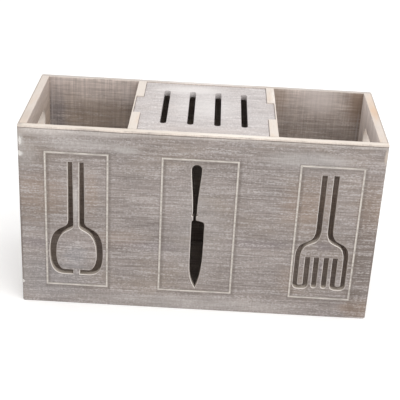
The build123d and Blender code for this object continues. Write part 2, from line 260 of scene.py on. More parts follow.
# %% [markdown]
# Handling and wiping leave marks: a brown pool of stain, a pale smear of lime, a worn corner. A mark is a
# soft oval with a ragged edge, given by its middle and its half sizes in millimetres, first along the board
# and then across it. Strokes make its edge ragged, so that the mark lies in the finish and not on it.

# %% Marks
Mark = namedtuple("Mark", "u v half_u half_v colour strength")
RAGGED = 0.9
MARK_CORE = 0.2
MARK_EDGE = 1.0


def marked(tree, colour, along, across, ragged, marks):
    """A colour with marks on it."""
    place = add_node(tree, "ShaderNodeTexCoord").outputs["Object"]
    split = add_node(tree, "ShaderNodeSeparateXYZ", {0: place}).outputs
    flat = add_node(tree, "ShaderNodeCombineXYZ", {X: split[along], Y: split[across]}).outputs[0]
    for mark in marks:
        centred = add_node(tree, "ShaderNodeMapping", {
            "Vector": flat,
            "Location": (mark.u * MM, mark.v * MM, 0.0),
            "Scale": (mark.half_u * MM, mark.half_v * MM, 1.0),
        }, vector_type="TEXTURE").outputs[0]
        away = add_node(tree, "ShaderNodeVectorMath", {0: centred}, operation="LENGTH").outputs["Value"]
        away = add_node(tree, "ShaderNodeMath", {0: ragged, 1: RAGGED, 2: away},
                        operation="MULTIPLY_ADD").outputs[0]
        mask = add_node(tree, "ShaderNodeMapRange", {
            "Value": away, "From Min": MARK_CORE + RAGGED / 2, "From Max": MARK_EDGE + RAGGED / 2,
            "To Min": mark.strength, "To Max": 0.0,
        }, interpolation_type="SMOOTHSTEP").outputs[0]
        colour = add_node(tree, "ShaderNodeMix", {FACTOR: mask, UNDER: colour, OVER: srgb(mark.colour)},
                          data_type="RGBA").outputs[MIXED]
    return colour


print("a mark is full to", MARK_CORE, "of its half size")

# %% [markdown]
# Along the rim, along a groove and along an outer edge the finish changes with the distance from that edge:
# bare wood, then a dark line, then a pale band of lime. Beside a groove and along the outer edge of an
# end's rim the bands are painted shade, and down the inside the finish darkens with depth as painted shade.
# One helper lays such bands over a colour. Its stops give the distance in millimetres, the colour and how
# much of it shows, and its reach is the distance over which they lie. A worn factor breaks the bands up, as
# no brush or sander follows an edge evenly.

# %% Bands along an edge
Bands = namedtuple("Bands", "reach stops")
BAND_LEAST = 0.45
WORN_LOW = 0.32
WORN_HIGH = 0.55


def banded(tree, colour, along, gap, bands):
    """A colour with bands that follow a distance in mm."""
    part = add_node(tree, "ShaderNodeMath", {0: gap, 1: bands.reach}, operation="DIVIDE").outputs[0]
    ramp = add_node(tree, "ShaderNodeValToRGB", {"Fac": part})
    elements = ramp.color_ramp.elements
    while len(elements) < len(bands.stops):
        elements.new(1.0)
    for element, (distance, code, strength) in zip(elements, bands.stops):
        element.position = distance / bands.reach
        element.color = (*srgb(code)[:3], strength)
    patchy = strokes(tree, along, length=12, width=2.4, detail=3, seed=19)
    worn = add_node(tree, "ShaderNodeMapRange", {
        "Value": patchy, "From Min": WORN_LOW, "From Max": WORN_HIGH, "To Min": BAND_LEAST, "To Max": 1.0,
    }).outputs[0]
    strength = add_node(tree, "ShaderNodeMath", {0: ramp.outputs["Alpha"], 1: worn},
                        operation="MULTIPLY").outputs[0]
    return add_node(tree, "ShaderNodeMix", {FACTOR: strength, UNDER: colour, OVER: ramp.outputs["Color"]},
                    data_type="RGBA").outputs[MIXED]


RIM_WOBBLE = 1.2


def below_rim(tree, along, split):
    """Distance below the rim in mm, with a wobble."""
    wobble = strokes(tree, along, length=22, width=5, detail=3, seed=17)
    down = add_node(tree, "ShaderNodeMath", {0: split[Z], 1: -1 / MM, 2: RIM / MM},
                    operation="MULTIPLY_ADD").outputs[0]
    return add_node(tree, "ShaderNodeMath", {0: wobble, 1: RIM_WOBBLE, 2: down},
                    operation="MULTIPLY_ADD").outputs[0]


print("bands keep at least", BAND_LEAST, "of their strength")

# %% [markdown]
# Limed board is the finish of nearly the whole caddy, and it is the sum of these layers in the order in
# which they were put on: stain, marks in the stain, lime, the bands that wiping and sanding left along the
# edges, the tone of the last dry pass, and the knocks of use on top. Limed wood is dull and chalky. The
# strokes also stand up a little, which a bump shows.

# %% Limed board
Recipe = namedtuple("Recipe", "dark light brown lime low high tones")
GRAIN_SHARE = 0.6
BRUSH_BUMP = 0.35
BRUSH_HEIGHT = 0.25 * MM


def limed_board(name, along, across, recipe, bands=None, stains=(), knocks=(), grooves=None):
    """Stained, limed and sanded board with its strokes along one axis and a faint weave across it."""
    material, tree, shader = start_material(name, roughness=0.82, specular=0.25)
    place = add_node(tree, "ShaderNodeTexCoord").outputs["Object"]
    split = add_node(tree, "ShaderNodeSeparateXYZ", {0: place}).outputs
    brush = strokes(tree, along, length=36, width=1.8, detail=4, seed=3, wave=0.35)

    colour, grain = stain(tree, along, recipe.dark, recipe.light, recipe.brown)
    colour = marked(tree, colour, along, across, brush, stains)
    cover = lime_cover(tree, along, brush, recipe.low, recipe.high)
    colour = add_node(tree, "ShaderNodeMix", {FACTOR: cover, UNDER: colour, OVER: srgb(recipe.lime)},
                      data_type="RGBA").outputs[MIXED]
    if bands is not None:
        colour = banded(tree, colour, along, below_rim(tree, along, split), bands)
    colour = toned(tree, colour, along, across, recipe.tones)
    if grooves is not None:
        colour = grooves(tree, colour, along, split)
    colour = marked(tree, colour, along, across, brush, knocks)

    height = add_node(tree, "ShaderNodeMath", {0: grain, 1: GRAIN_SHARE, 2: brush},
                      operation="MULTIPLY_ADD").outputs[0]
    bump = add_node(tree, "ShaderNodeBump", {
        "Strength": BRUSH_BUMP, "Distance": BRUSH_HEIGHT, "Height": height,
    })
    tree.links.new(colour, shader.inputs["Base Color"])
    tree.links.new(bump.outputs[0], shader.inputs["Normal"])
    return material


print("a recipe is given by its", ", ".join(Recipe._fields))

# %% [markdown]
# The three frames on the front are V grooves. Lime stays in their root as a cream line, and a band of
# painted shade lies along their right and lower sides. The finish of the front has to know how far each
# point is from the nearest groove. Away from the board's edges, only the grooves' root lies exactly as deep
# as the groove, so the frames are read from the board.

# %% Groove lines
GROOVE_DEPTH = 1.0 * MM
GROOVE_HALF = 1.1 * MM
# Painted shade: a dark band, shifted right and down, beside each groove.
GROOVE_SHADE = "#5f554e"
ROOT_LIME = "#dfd9d2"
ROOT_EDGE = "#d6d0c9"
SHADE_SHIFT = 0.9 * MM
SHADE_BANDS = Bands(5.0, (
    (0.0, GROOVE_SHADE, 0.5),
    (1.9, GROOVE_SHADE, 0.45),
    (3.8, GROOVE_SHADE, 0.0),
))
ROOT_BANDS = Bands(5.0, (
    (0.0, ROOT_LIME, 1.0),
    (0.55, ROOT_EDGE, 0.95),
    (1.15, ROOT_EDGE, 0.0),
))
EDGE_MARGIN = 5.0 * MM
SAME_DEPTH = 0.01 * MM

front_low, front_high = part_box("front_panel")


def off_edges(co):
    """Whether a point of the front lies well inside its outline, clear of the rounded edges."""
    return abs(co.x) < front_high.x - EDGE_MARGIN and EDGE_MARGIN < co.z < RIM - EDGE_MARGIN


root_y = front_low.y + GROOVE_DEPTH
points = [v.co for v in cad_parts["front_panel"].data.vertices if off_edges(v.co)]
roots = [co for co in points if abs(co.y - root_y) < SAME_DEPTH]
root_x = sorted({round(co.x / MM, 1) * MM for co in roots})
root_z = sorted({round(co.z / MM, 1) * MM for co in roots})
groove_frames = list(zip(root_x[0::2], root_x[1::2]))
frame_foot = root_z[0]
frame_head = root_z[-1]
frame_half = (frame_head - frame_foot) / 2
frame_middle = (frame_head + frame_foot) / 2


def off_line(x, z):
    """Distance of a point on the front from the nearest groove."""
    gaps = []
    for left, right in groove_frames:
        side = abs(x - (left + right) / 2) - (right - left) / 2
        gaps.append(abs(max(side, abs(z - frame_middle) - frame_half)))
    return min(gaps)


def groove_gap(tree, split, shift):
    """The same distance worked out in nodes, in mm, for grooves that are shifted to the right and down."""
    middle = frame_middle - shift
    high = add_node(tree, "ShaderNodeMath", {0: split[Z], 1: middle}, operation="SUBTRACT").outputs[0]
    high = add_node(tree, "ShaderNodeMath", {0: high}, operation="ABSOLUTE").outputs[0]
    high = add_node(tree, "ShaderNodeMath", {0: high, 1: frame_half}, operation="SUBTRACT").outputs[0]
    nearest = None
    for left, right in groove_frames:
        centre = (left + right) / 2 + shift
        half = (right - left) / 2
        side = add_node(tree, "ShaderNodeMath", {0: split[X], 1: centre}, operation="SUBTRACT").outputs[0]
        side = add_node(tree, "ShaderNodeMath", {0: side}, operation="ABSOLUTE").outputs[0]
        side = add_node(tree, "ShaderNodeMath", {0: side, 1: half}, operation="SUBTRACT").outputs[0]
        gap = add_node(tree, "ShaderNodeMath", {0: side, 1: high}, operation="MAXIMUM").outputs[0]
        gap = add_node(tree, "ShaderNodeMath", {0: gap}, operation="ABSOLUTE").outputs[0]
        if nearest is not None:
            gap = add_node(tree, "ShaderNodeMath", {0: gap, 1: nearest}, operation="MINIMUM").outputs[0]
        nearest = gap
    return add_node(tree, "ShaderNodeMath", {0: nearest, 1: MM}, operation="DIVIDE").outputs[0]


def grooved(tree, colour, along, split):
    """A colour with painted shade beside the grooves and the lime in their root."""
    shade = groove_gap(tree, split, SHADE_SHIFT)
    colour = banded(tree, colour, along, shade, SHADE_BANDS)
    root = groove_gap(tree, split, 0.0)
    return banded(tree, colour, along, root, ROOT_BANDS)


print("frames in mm:", [[round(v / MM, 1) for v in pair] for pair in groove_frames])

# %% [markdown]
# The same liming is used on every board, with a recipe for each side. The outside got a dark stain and a
# fair coat of lime. The inside got less lime, and the dry pass across it was heavier, so it is browner and
# looks woven. The insides of the ends are paler, and the lid got the most lime, so it is nearly white. A
# recipe holds the colours, the two ends of the lime's soft threshold and the tones. Strokes follow the
# length of each board, so the boards that run from front to back have a finish of their own.

# %% Recipes
WEAVE = Tone(True, 6, 1.3, 0.09)
CLOUD = Tone(False, 90, 30, 0.13)
BRISTLE = Tone(False, 18, 1.3, 0.07)
PLAID = Tone(True, 32, 1.7, 0.15)
STREAK = Tone(False, 30, 1.7, 0.15)
SOFT = Tone(False, 40, 6, 0.08)
FINE = Tone(False, 14, 1.2, 0.1)
OUTSIDE = Recipe("#7a716c", "#9b928e", "#8a7e73", "#b8b2b0", 0.94, 1.3, (WEAVE, CLOUD, BRISTLE))
INSIDE = Recipe("#93877f", "#afa39b", "#a2907f", "#c8bfba", 1.0, 1.36, (PLAID, CLOUD, STREAK))
LEFT_END = Recipe("#b4a395", "#cbb9aa", "#c6b09f", "#d7cabf", 1.0, 1.36, (SOFT, BRISTLE))
# The right end's inside is paler than the left's as painted light: it faces away from the key light.
RIGHT_END_PAINTED_LIGHT = Recipe("#c1b5ad", "#dacec7", "#cbbaae", "#e2d8d4", 1.0, 1.36, (STREAK, SOFT))
LID_WHITE = Recipe("#aea7a5", "#cac3c1", "#c6bcb7", "#dcd8d7", 0.96, 1.32, (WEAVE, FINE, SOFT))
BARE = "#d9cdc2"
DARK_RIM_LINE = "#6b6058"
LIMED = "#cfc8c3"
# At the rim: bare wood, then a dark line, then a pale band of lime that fades out.
RIM_BANDS = Bands(10.0, (
    (1.5, BARE, 1.0),
    (2.5, BARE, 0.95),
    (3.0, DARK_RIM_LINE, 0.5),
    (3.5, DARK_RIM_LINE, 0.45),
    (4.1, LIMED, 0.55),
    (5.5, LIMED, 0.3),
    (7.5, LIMED, 0.0),
))


def inside_bands(bare, limed):
    """Bare wood at the rim, then a pale band that fades down the inside: painted shade, darker further
    down.
    """
    return Bands(50.0, (
        (1.0, bare, 1.0),
        (1.8, limed, 0.9),
        (7.0, limed, 0.75),
        (22.0, limed, 0.4),
        (42.0, limed, 0.0),
    ))


# Painted shade: the pale band fades down the inside, so the walls darken with depth.
INSIDE_BANDS = inside_bands(BARE, "#cec1ba")
# Painted light: the bands on the right end's inside are paler than the others.
RIGHT_BANDS_PAINTED_LIGHT = inside_bands("#ece1d7", "#efe3dc")
print("recipes:", len([OUTSIDE, INSIDE, LEFT_END, RIGHT_END_PAINTED_LIGHT, LID_WHITE]))

# %% [markdown]
# The boards carry the marks that the photograph shows: brown and cool patches in the stain, pale smears of
# lime, and the worn corners. Each is placed in millimetres from the middle of the underside. Stains lie
# under the lime, and knocks lie on top of it.

# %% Finishes of the boards
BROWN = "#937e6d"
COOL = "#7a7275"
COLD = "#8d8f94"
DARK = "#6b615b"
PALE = "#c6c2bf"
CREAM = "#cdbfb1"
FRONT_STAINS = (
    Mark(-160, 124, 40, 38, BROWN, 0.4),
    Mark(-108, 128, 10, 36, BROWN, 0.3),
    Mark(-76, 81, 40, 16, BROWN, 0.3),
    Mark(105, 130, 34, 40, BROWN, 0.45),
    Mark(100, 42, 22, 24, BROWN, 0.4),
    Mark(170, 122, 18, 48, BROWN, 0.5),
    Mark(168, 14, 22, 18, BROWN, 0.7),
    Mark(-160, 70, 40, 9, COOL, 0.45),
    Mark(-50, 73, 46, 8, COOL, 0.4),
    Mark(62, 82, 44, 8, COOL, 0.45),
    Mark(-74, 178, 20, 6, PALE, 0.4),
    Mark(-172, 170, 14, 22, PALE, 0.25),
    Mark(-124, 118, 5, 30, PALE, 0.5),
    Mark(-124, 59, 18, 20, COLD, 0.35),
    Mark(-150, 28, 60, 40, COLD, 0.25),
    Mark(128, 84, 14, 8, COOL, 0.6),
    Mark(126, 56, 24, 22, COOL, 0.7),
    Mark(166, 40, 18, 55, DARK, 0.5),
    Mark(168, 90, 16, 110, DARK, 0.5),
    Mark(-82, 66, 24, 14, DARK, 0.35),
    Mark(125, 70, 60, 75, DARK, 0.25),
    Mark(-118, 182, 60, 11, PALE, 0.3),
    Mark(104, 178, 60, 13, PALE, 0.4),
    Mark(0, 95, 38, 72, PALE, 0.15),
    Mark(0, 8, 150, 14, PALE, 0.25),
)
FRONT_KNOCKS = (
    Mark(-152, 192.5, 46, 6, LIMED, 0.35),
    Mark(-98, 193, 44, 4, LIMED, 0.3),
    Mark(-178, 193, 5, 7, "#a9a09a", 0.6),
    Mark(-177, 183, 5, 9, "#cbc7c4", 0.6),
    Mark(-178, 169, 5, 3.6, "#d6d3d0", 0.9),
    Mark(178.2, 186, 2.2, 11, CREAM, 0.6),
    Mark(-179.2, 80, 2.6, 85, DARK, 0.7),
    Mark(179.2, 60, 2.6, 80, DARK, 0.7),
)
BACK_STAINS = (
    Mark(-163, 150, 14, 90, "#928c8d", 0.8),
    Mark(-84, 182, 12, 16, "#d3cac7", 0.5),
    Mark(-92, 152, 18, 16, "#b3a498", 0.7),
)
BACK_KNOCKS = (
    Mark(124, 190, 28, 26, "#d6ccc7", 0.6),
    Mark(168, 188, 22, 36, "#866f5b", 0.7),
    Mark(78, 190, 18, 30, "#98836f", 0.4),
    Mark(-168.4, 165, 1.3, 40, "#c9c2c2", 0.6),
    Mark(168.4, 150, 1.3, 40, "#c9c2c2", 0.4),
)
RIGHT_KNOCKS = (
    Mark(170, 62, 60, 9, "#e8dfd9", 0.6),
)
LID_KNOCKS_AND_SHADE = (
    # The paler middle and the darker band along the front edge are painted light and shade: the lid lies
    # below the rim, shaded near the front wall.
    Mark(0, 4, 46, 46, "#dedad8", 0.5),
    Mark(0, -60, 66, 9, "#bab0ac", 0.45),
    Mark(-14, 50, 52, 20, "#e4e0de", 0.6),
)

limed_front = limed_board("limed_front_board", X, Z, OUTSIDE, RIM_BANDS,
                          FRONT_STAINS, FRONT_KNOCKS, grooved)
limed_long = limed_board("limed_long_board", X, Z, OUTSIDE, RIM_BANDS)
limed_end = limed_board("limed_end_board", Y, Z, OUTSIDE, RIM_BANDS)
inner_long = limed_board("limed_inner_long_board", X, Z, INSIDE, INSIDE_BANDS)
inner_back = limed_board("limed_inner_back_board", X, Z, INSIDE, INSIDE_BANDS, BACK_STAINS, BACK_KNOCKS)
inner_left = limed_board("limed_left_end_inside", Y, Z, LEFT_END, INSIDE_BANDS)
inner_right = limed_board("limed_right_end_inside_painted_light", Z, Y, RIGHT_END_PAINTED_LIGHT, RIGHT_BANDS_PAINTED_LIGHT, knocks=RIGHT_KNOCKS)
inner_divider = limed_board("limed_divider_board", Y, Z, INSIDE, INSIDE_BANDS)
limed_lid = limed_board("limed_lid_board", X, Y, LID_WHITE, knocks=LID_KNOCKS_AND_SHADE)
print("finishes:", [m.name for m in bpy.data.materials if m.name.startswith("limed")])

# %% [markdown]
# Where the sander went through, the wood is bare: cream, with faint peach patches and fine grey pores. The
# same bare wood shows on the rim and in the hand holes, a little smoother than limed board. A band along
# the outer edge of the ends' rims is darkened as painted shade, and the back's rim was sanded least, so it
# is greyer.

# %% Sanded wood
EDGE_SHADE = "#94897f"
EDGE_SHADE_BANDS = Bands(3.0, (
    (0.0, EDGE_SHADE, 0.85),
    (1.2, EDGE_SHADE, 0.7),
    (2.2, EDGE_SHADE, 0.0),
))
PEACH_LOW = 0.48
PEACH_HIGH = 0.7
PEACH_MOST = 0.6
PORE_LOW = 0.5
PORE_HIGH = 0.75
PORE_MOST = 0.45
FIBRE_BUMP = 0.2
FIBRE_HEIGHT = 0.15 * MM
FRONT_RIM_MARKS = (
    Mark(-178, -70, 6, 5, "#aaa19a", 0.7),
    Mark(35, -70, 75, 7, "#efe7de", 0.8),
)
BACK_RIM_MARKS = (
    Mark(0, 71, 75, 8, "#e2dcd8", 0.7),
)
DIVIDER_MARKS = (
    Mark(40, 77, 34, 9, "#f6efe8", 0.8),
)
END_RIM_MARKS = (
    Mark(24, 176, 56, 8, "#dcbd9f", 0.4),
    Mark(12, 176, 26, 8, "#d2b08f", 0.45),
    Mark(-46, -175, 24, 7, "#c4b8ae", 0.6),
)


def outer_gap(tree, split):
    """Distance in from the outside of an end, in mm."""
    aside = add_node(tree, "ShaderNodeMath", {0: split[X]}, operation="ABSOLUTE").outputs[0]
    return add_node(tree, "ShaderNodeMath", {0: aside, 1: -1 / MM, 2: cad_high.x / MM},
                    operation="MULTIPLY_ADD").outputs[0]


def sanded_wood(name, along, across, pale, peach, pore, marks=(), edge=None):
    """Bare sanded wood with peach patches and fine pores along the grain."""
    material, tree, shader = start_material(name, roughness=0.7, specular=0.3)
    patch = strokes(tree, along, length=42, width=9, detail=2, seed=23)
    patch_mask = add_node(tree, "ShaderNodeMapRange", {
        "Value": patch, "From Min": PEACH_LOW, "From Max": PEACH_HIGH, "To Max": PEACH_MOST,
    }, interpolation_type="SMOOTHSTEP").outputs[0]
    colour = add_node(tree, "ShaderNodeMix", {FACTOR: patch_mask, UNDER: srgb(pale), OVER: srgb(peach)},
                      data_type="RGBA").outputs[MIXED]
    fibre = strokes(tree, along, length=12, width=1.2, detail=3, seed=29)
    colour = marked(tree, colour, along, across, fibre, marks)
    pore_mask = add_node(tree, "ShaderNodeMapRange", {
        "Value": fibre, "From Min": PORE_LOW, "From Max": PORE_HIGH, "To Max": PORE_MOST,
    }).outputs[0]
    colour = add_node(tree, "ShaderNodeMix", {FACTOR: pore_mask, UNDER: colour, OVER: srgb(pore)},
                      data_type="RGBA").outputs[MIXED]
    # An edge, where given, darkens a band along the outer edge of the rim as painted shade.
    if edge is not None:
        place = add_node(tree, "ShaderNodeTexCoord").outputs["Object"]
        split = add_node(tree, "ShaderNodeSeparateXYZ", {0: place}).outputs
        colour = banded(tree, colour, along, edge(tree, split), EDGE_SHADE_BANDS)
    bump = add_node(tree, "ShaderNodeBump", {
        "Strength": FIBRE_BUMP, "Distance": FIBRE_HEIGHT, "Height": fibre,
    })
    tree.links.new(colour, shader.inputs["Base Color"])
    tree.links.new(bump.outputs[0], shader.inputs["Normal"])
    return material


sanded_long = sanded_wood("sanded_front_rim", X, Y, "#ddd3c9", "#d8c8b8", "#c3b8ad", FRONT_RIM_MARKS)
sanded_back = sanded_wood("sanded_back_rim", X, Y, "#c4bcb6", "#c0b3a8", "#aba199", BACK_RIM_MARKS)
sanded_end = sanded_wood("sanded_end_rim", Y, X, "#d6cbc2", "#d6c3b2", "#bcb1a7", END_RIM_MARKS, outer_gap)
sanded_inner = sanded_wood("sanded_divider_rim", Y, X, "#dcd2c9", "#dac8b8", "#c2b7ad", DIVIDER_MARKS)
bare_chip = sanded_wood("bare_chipped_wood", X, Z, "#d6d3cf", "#cfc9c2", "#bdb6ae")
print("bare wood:", [m.name for m in (sanded_long, sanded_back, sanded_end, sanded_inner, bare_chip)])

# %% [markdown]
# The fretwork was sawn after the liming. Its walls are raw and brown, and its arrises were broken with
# sandpaper. The walls and arrises that look up or to the right are painted paler, as painted light, and the
# others darker, as painted shade, like the bands beside the grooves. Which way a face looks is read from
# its normal, and strokes make the painted light uneven.

# %% Sawn wood
# Painted light: faces that look towards this side are paler, and the others are darker as painted shade.
PAINTED_LIGHT_UNEVEN = 0.9
PAINTED_LIGHT_SIDE = (0.6, 0.0, 1.0)
PAINTED_LIGHT_LOW = -0.15
PAINTED_LIGHT_HIGH = 1.05


def painted_light_cut(name, beside, above):
    """Cut wood painted paler where it looks up or to the right, as painted light, and darker elsewhere, as
    painted shade.
    """
    material, tree, shader = start_material(name, roughness=0.8, specular=0.2)
    normal = add_node(tree, "ShaderNodeNewGeometry").outputs["Normal"]
    towards = add_node(tree, "ShaderNodeVectorMath", {0: normal, 1: PAINTED_LIGHT_SIDE},
                       operation="DOT_PRODUCT").outputs["Value"]
    light_patches = strokes(tree, X, length=7, width=3, detail=3, seed=37)
    level = add_node(tree, "ShaderNodeMath", {0: light_patches, 1: PAINTED_LIGHT_UNEVEN, 2: towards},
                     operation="MULTIPLY_ADD").outputs[0]
    shown = add_node(tree, "ShaderNodeMapRange", {
        "Value": level, "From Min": PAINTED_LIGHT_LOW, "From Max": PAINTED_LIGHT_HIGH,
    }).outputs[0]
    colour = add_node(tree, "ShaderNodeMix", {FACTOR: shown, UNDER: srgb(beside), OVER: srgb(above)},
                      data_type="RGBA").outputs[MIXED]
    tree.links.new(colour, shader.inputs["Base Color"])
    return material


saw_cut = painted_light_cut("sawn_fret_wall", "#7f7369", "#bab0a5")
fret_arris = painted_light_cut("sanded_fret_arris", "#8f8680", "#d8d1cb")
print("fretwork:", saw_cut.name, fret_arris.name)

# %% [markdown]
# The brads that hold the joints are bright drawn steel wire. They lie under filler and never show while the
# box is whole, but they are pieces of it, so they get a metal of their own: fine lines from the drawing die
# run along the wire and change its roughness. As nothing in the picture shows these lines, they keep their
# real width.

# %% Brad wire
WIRE_SMOOTH = 0.25
WIRE_ROUGH = 0.5


def drawn_wire():
    """Bright steel wire with drawing lines along it."""
    material, tree, shader = start_material("drawn_steel_wire", roughness=0.35, specular=0.5)
    shader.inputs["Metallic"].default_value = 1.0
    lines = strokes(tree, Y, length=8, width=0.15, detail=2, seed=31)
    colour = add_node(tree, "ShaderNodeMix", {FACTOR: lines, UNDER: srgb("#9a9c9f"), OVER: srgb("#c6c8ca")},
                      data_type="RGBA").outputs[MIXED]
    rough = add_node(tree, "ShaderNodeMapRange", {
        "Value": lines, "To Min": WIRE_SMOOTH, "To Max": WIRE_ROUGH,
    }).outputs[0]
    tree.links.new(colour, shader.inputs["Base Color"])
    tree.links.new(rough, shader.inputs["Roughness"])
    return material


wire = drawn_wire()
brad_nodes = [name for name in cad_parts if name.endswith("_brads")]
for name in brad_nodes:
    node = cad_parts[name]
    node.data.materials.clear()
    node.data.materials.append(wire)
print("brads with a wire finish:", sorted(brad_nodes))

# %% [markdown]
# A board of the frame is a mesh of loose triangles with sharp, perfect edges. A finished board is a copy of
# it: merged, cleaned of spare edges, and cut across every few millimetres, so that its edges have points
# that can be worn. The cuts are made with bisect, plane by plane, as they could be by hand.

# %% Copy and slice a board
WELD = 0.002 * MM
FLAT = math.radians(0.5)
SLICE = 4.0 * MM
SMOOTH = math.radians(35)


def only(thing):
    """Makes one object the only one selected."""
    bpy.ops.object.select_all(action="DESELECT")
    thing.select_set(True)
    bpy.context.view_layer.objects.active = thing


def board_copy(node, name):
    """A merged copy of a board of the frame, as a new object."""
    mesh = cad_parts[node].data.copy()
    mesh.materials.clear()
    board = bpy.data.objects.new(name, mesh)
    bpy.context.scene.collection.objects.link(board)
    only(board)
    bpy.ops.object.mode_set(mode="EDIT")
    bpy.ops.mesh.select_all(action="SELECT")
    bpy.ops.mesh.customdata_custom_splitnormals_clear()
    bpy.ops.mesh.remove_doubles(threshold=WELD)
    bpy.ops.mesh.dissolve_limited(angle_limit=FLAT)
    bpy.ops.object.mode_set(mode="OBJECT")
    return board


def slice_board(board, axis):
    """Cuts across a board along an axis, so that long edges get points."""
    places = [v.co[axis] for v in board.data.vertices]
    start = min(places)
    length = max(places) - start
    count = round(length / SLICE)
    normal = Vector((0, 0, 0))
    normal[axis] = 1
    only(board)
    bpy.ops.object.mode_set(mode="EDIT")
    for n in range(1, count):
        at = start + length * n / count
        bpy.ops.mesh.select_all(action="SELECT")
        bpy.ops.mesh.bisect(plane_co=normal * at, plane_no=normal)
    bpy.ops.object.mode_set(mode="OBJECT")


print("slices are", SLICE / MM, "mm apart")

# %% [markdown]
# Sanding by hand never leaves a straight edge. A Displace modifier with a cloud texture pushes the points
# near the worn edges inwards, by two tenths of a millimetre at most. A vertex group keeps it to the edges,
# and the push is always inwards, so the board never grows past its real size.

# %% Wear the edges
WEAR_DEPTH = 0.2 * MM
WEAR_LENGTH = 14.0 * MM
WEAR_REACH = 1.7 * MM

wear_clouds = bpy.data.textures.new("wear_clouds", "CLOUDS")
wear_clouds.noise_scale = WEAR_LENGTH


def wear(board, worn):
    """Pushes in the points for which worn(co) is true."""
    group = board.vertex_groups.new(name="worn")
    points = [v.index for v in board.data.vertices if worn(v.co)]
    group.add(points, 1.0, "REPLACE")
    push = board.modifiers.new("wear", "DISPLACE")
    push.texture = wear_clouds
    push.texture_coords = "LOCAL"
    push.mid_level = 0.0
    push.strength = -WEAR_DEPTH
    push.vertex_group = group.name
    only(board)
    bpy.ops.object.modifier_apply(modifier=push.name)
    board.vertex_groups.clear()
    return len(points)


def near_rim(co):
    """Whether a point lies on the rim or just below it."""
    return co.z > RIM - WEAR_REACH


def near_outer_edge(co):
    """Whether a point lies near the rim or near an upright outer corner."""
    return near_rim(co) or abs(co.x) > cad_high.x - WEAR_REACH


print("wear goes", WEAR_DEPTH / MM, "mm deep and", WEAR_REACH / MM, "mm in from an edge")

# %% [markdown]
# Each face of a board gets the finish that it has on the real one, chosen by where it points and where it
# lies: outside, inside, rim, sanded arris, hand hole or sawn wall. The order of the finishes in the list is
# the order of the board's material slots. A face counts as looking up, or along an axis, when that part of
# its normal is large enough. A dressed board is then handed over: it stands in for its piece of the frame.

# %% Dress a board
LOOKS_UP = 0.75
SQUARE_ON = 0.9


def on_rim(co, normal):
    """Whether a face looks up and lies on the rim."""
    return normal.z > LOOKS_UP and near_rim(co)


def dress(board, finishes, pick):
    """Gives each face the finish that pick names."""
    names = list(finishes)
    for finish in finishes.values():
        board.data.materials.append(finish)
    for face in board.data.polygons:
        face.material_index = names.index(pick(face.center, face.normal))


def hand_over(board, node, body):
    """Smooths a finished board, and lets it stand for its node and move with its body."""
    only(board)
    bpy.ops.object.shade_smooth_by_angle(angle=SMOOTH)
    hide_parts(node)
    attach(board, body)
    print(board.name, "has", len(board.data.polygons), "faces")


print("smooth below", round(math.degrees(SMOOTH)), "degrees")

# %% [markdown]
# A knock on an arris breaks out a shallow flake and leaves it white. Each chip is a small lumpy stone,
# modelled from an icosphere, that a Boolean modifier takes out of the board. The stone carries the finish
# of bare wood, and its faces keep that finish in the board.

# %% Chips
CHIP_GRAIN = 2.5 * MM
LUMP_SHARE = 0.5

chip_clouds = bpy.data.textures.new("chip_clouds", "CLOUDS")
chip_clouds.noise_scale = CHIP_GRAIN


def chip_stone(place, size):
    """A lumpy stone at a place, as large as the chip that it takes out."""
    bpy.ops.object.select_all(action="DESELECT")
    bpy.ops.mesh.primitive_ico_sphere_add(subdivisions=3, radius=0.5, location=place)
    stone = bpy.context.object
    stone.scale = size
    bpy.ops.object.transform_apply(location=True, rotation=False, scale=True)
    lumps = stone.modifiers.new("lumps", "DISPLACE")
    lumps.texture = chip_clouds
    lumps.texture_coords = "LOCAL"
    lumps.strength = LUMP_SHARE * min(size)
    bpy.ops.object.modifier_apply(modifier=lumps.name)
    stone.data.materials.append(bare_chip)
    return stone


def knock(board, place, size):
    """Takes one chip out of a board."""
    stone = chip_stone(place, size)
    cut = board.modifiers.new("chip", "BOOLEAN")
    cut.operation = "DIFFERENCE"
    cut.solver = "EXACT"
    cut.material_mode = "TRANSFER"
    cut.object = stone
    only(board)
    bpy.ops.object.modifier_apply(modifier=cut.name)
    bpy.data.objects.remove(stone)


print("chips are lumpy every", CHIP_GRAIN / MM, "mm")

# %% [markdown]
# Sandpaper rounds the arrises of the fretwork further than the plain chamfer that the frame gives them. A
# Bevel modifier does this where a bevel weight asks for it. The weight goes to the edges between the
# front's flat face and a chamfer. The grooves keep their crisp edges: their slopes meet the face at a like
# angle, so they are told apart by their distance from a groove line.

# %% Round the fretwork's arrises
FRET_ROUND = 0.65 * MM
ARRIS_SEGMENTS = 3
FLAT_ON = 0.999
FRET_FLAT = 0.95
FRET_WALL = 0.3


def fret_edges(board):
    """Edges between the flat front and the chamfers of its cut-outs."""
    flat = set()
    slanted = set()
    for face in board.data.polygons:
        groove = off_line(face.center.x, face.center.z) < GROOVE_HALF
        if face.normal.y < -FLAT_ON:
            flat.update(face.edge_keys)
        elif -FRET_FLAT < face.normal.y < -FRET_WALL and off_edges(face.center) and not groove:
            slanted.update(face.edge_keys)
    return flat & slanted


def round_fretwork(board):
    """Rounds the arrises round the cut-outs."""
    wanted = fret_edges(board)
    weights = board.data.attributes.new("bevel_weight_edge", "FLOAT", "EDGE")
    for edge in board.data.edges:
        weights.data[edge.index].value = 1.0 if edge.key in wanted else 0.0
    soft = board.modifiers.new("fret_arris", "BEVEL")
    soft.limit_method = "WEIGHT"
    soft.width = FRET_ROUND
    soft.segments = ARRIS_SEGMENTS
    only(board)
    bpy.ops.object.modifier_apply(modifier=soft.name)
    board.data.attributes.remove(board.data.attributes["bevel_weight_edge"])
    return len(wanted)


